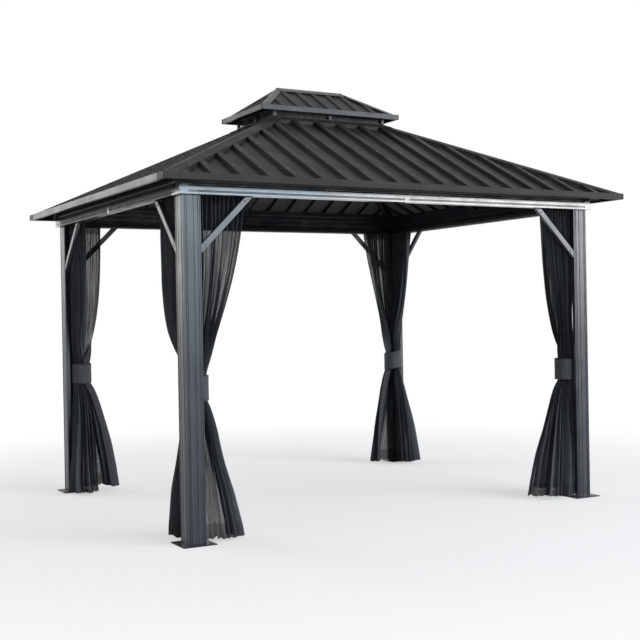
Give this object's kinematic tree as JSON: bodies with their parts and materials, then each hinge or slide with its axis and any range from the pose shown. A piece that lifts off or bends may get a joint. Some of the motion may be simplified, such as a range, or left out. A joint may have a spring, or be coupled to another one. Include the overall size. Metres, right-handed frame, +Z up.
{
  "type": "metal gazebo",
  "caption": "Open metal garden gazebo with a two-tier ribbed hip roof on ribbed corner posts, with knee braces and tied-back mosquito nets.",
  "frame": {"origin": "middle of the plan, on the ground under the foot plates", "axes": "+X to the right along the long side, +Y to the back, +Z up; the front faces -Y"},
  "size_m": [3.62, 3.02, 3.141],
  "materials": {
    "frame": "semi-gloss charcoal powder coat on ribbed aluminium",
    "foot": "charcoal powder coat on steel plate",
    "brace": "semi-gloss charcoal powder coat on steel tube",
    "inner_frame": "matt black-brown powder coat",
    "roof_sheet": "dark brown-black stove enamel on ribbed steel sheet",
    "roof_trim": "dark brown-grey enamel on folded steel",
    "fascia": "dark brown-grey enamel on folded steel",
    "upper_sheet": "slate grey enamel on ribbed steel sheet",
    "upper_trim": "slate grey enamel on folded steel",
    "vent_mesh": "black insect mesh",
    "net": "black polyester mosquito netting",
    "strap": "grey woven strap"
  },
  "bodies": {
    "root": {"post_front_left": "frame", "post_front_right": "frame", "post_back_left": "frame", "post_back_right": "frame", "foot_plate_front_left": "foot", "foot_plate_front_right": "foot", "foot_plate_back_left": "foot", "foot_plate_back_right": "foot", "beam_corner_front_left": "frame", "beam_corner_front_right": "frame", "beam_corner_back_left": "frame", "beam_corner_back_right": "frame", "beam_front": "frame", "beam_back": "frame", "beam_left": "frame", "beam_right": "frame", "knee_braces_front": "brace", "knee_braces_back": "brace", "knee_braces_left": "brace", "knee_braces_right": "brace", "curtain_rails": "inner_frame", "hip_rafters": "inner_frame", "middle_rafters": "inner_frame", "crown_ring": "inner_frame", "upper_ring": "inner_frame", "roof_front": "roof_sheet", "roof_back": "roof_sheet", "roof_left": "roof_sheet", "roof_right": "roof_sheet", "hip_caps": "roof_trim", "fascia_front": "fascia", "fascia_back": "fascia", "fascia_left": "fascia", "fascia_right": "fascia", "fascia_corners": "fascia", "crown_flashing": "roof_trim", "vent_uprights": "upper_trim", "vent_screens": "vent_mesh", "upper_roof_front": "upper_sheet", "upper_roof_back": "upper_sheet", "upper_roof_left": "upper_sheet", "upper_roof_right": "upper_sheet", "upper_hip_caps": "upper_trim", "upper_ridge_cap": "upper_trim", "upper_fascia": "upper_trim", "net_front_left": "net", "net_front_right": "net", "net_back_left": "net", "net_back_right": "net", "tie_straps": "strap"}
  },
  "joints": []
}
